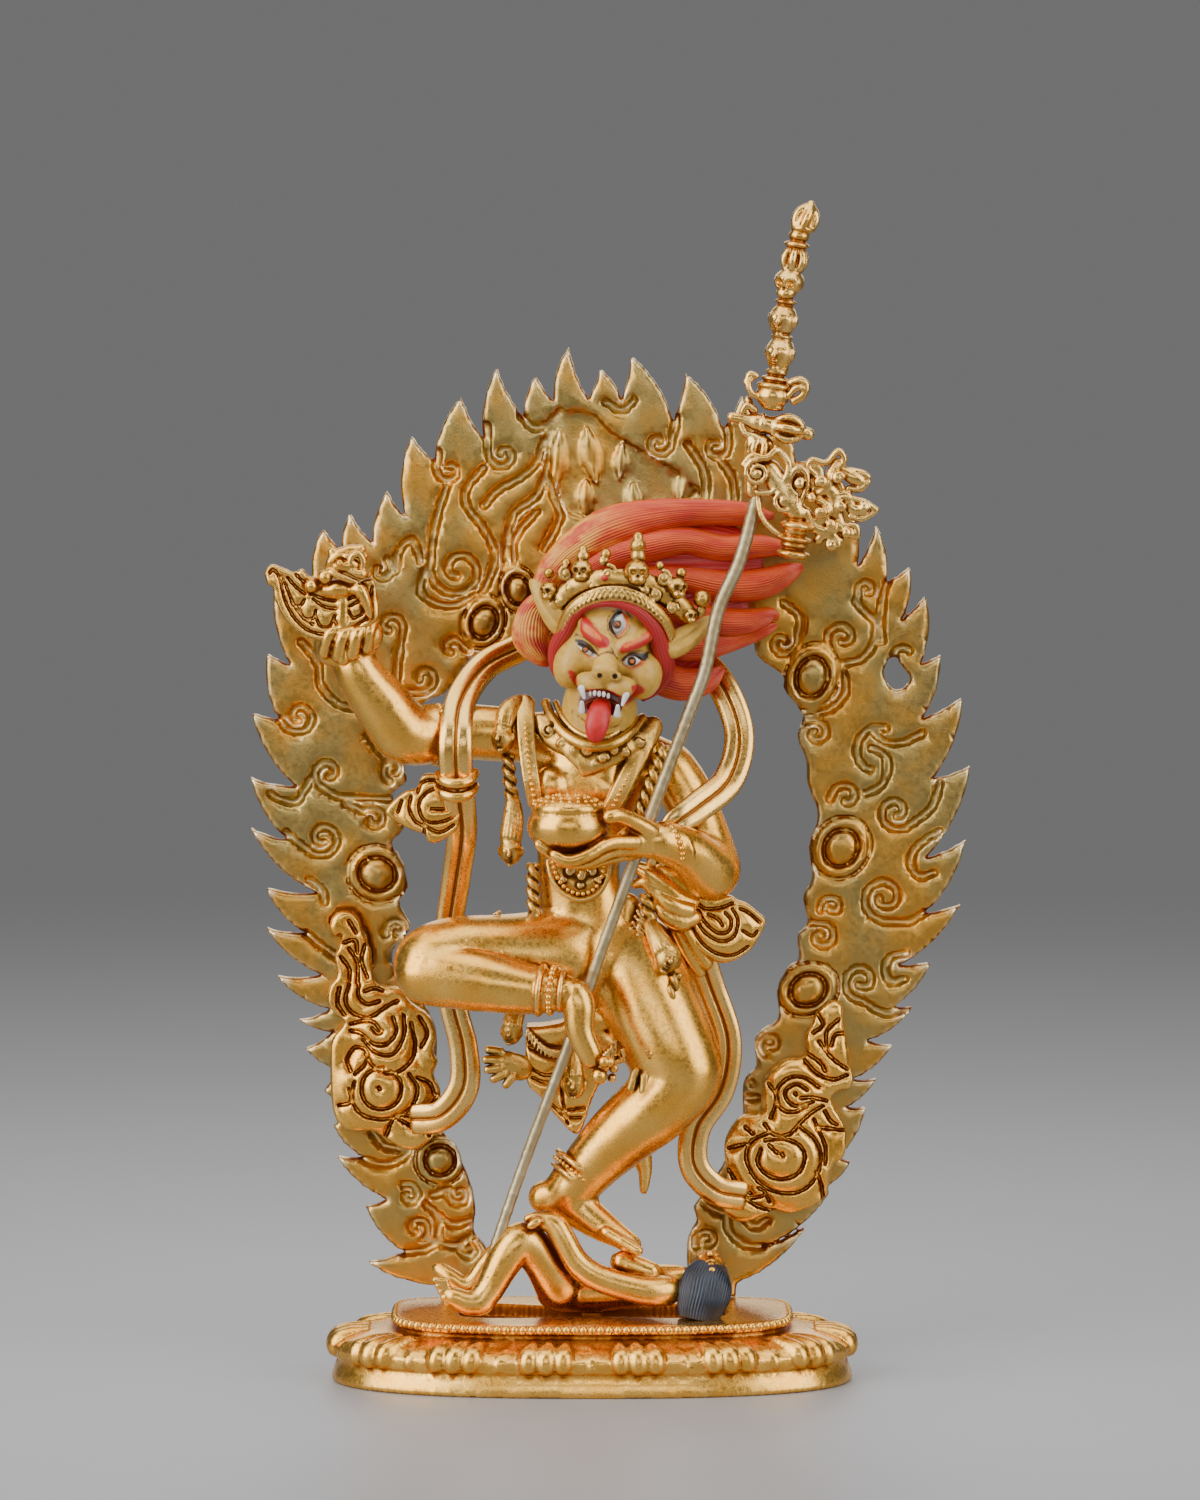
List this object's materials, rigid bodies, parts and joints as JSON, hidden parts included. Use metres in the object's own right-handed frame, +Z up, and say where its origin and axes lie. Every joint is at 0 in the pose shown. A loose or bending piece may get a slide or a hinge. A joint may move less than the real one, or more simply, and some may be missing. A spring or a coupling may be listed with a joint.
{
  "type": "simhamukha statue",
  "caption": "Gilt cast copper statue of a dancing lion-faced deity with staff, knife and skull cup, scarf, flame arch and oval lotus base.",
  "frame": {"origin": "middle of the base's underside, where the statue rests", "axes": "+Z up, the staff's direction, -Y towards the viewer that the figure faces, +X to that viewer's right"},
  "size_m": [0.1319, 0.0504, 0.2134],
  "materials": {
    "bright_gold": "fire gilt copper, satin, with warm brown patina in the recesses",
    "arch_gold": "duller gilding with burnished edges and red paint on the back",
    "bare_rod": "bare worn brass wire, dull grey yellow",
    "face_paint": "matte yellow gold paint with red, white and black details",
    "hair_paint": "matte orange red paint with crimson and yellow strands",
    "black_paint": "matte black paint with a blue tinge"
  },
  "bodies": {
    "root": {"lotus_base": "bright_gold", "corpse": "bright_gold", "figure": "bright_gold", "flaying_knife": "bright_gold", "staff_rod": "bare_rod", "staff_finial": "bright_gold", "flame_aureole": "arch_gold", "scarf": "bright_gold"}
  },
  "joints": []
}
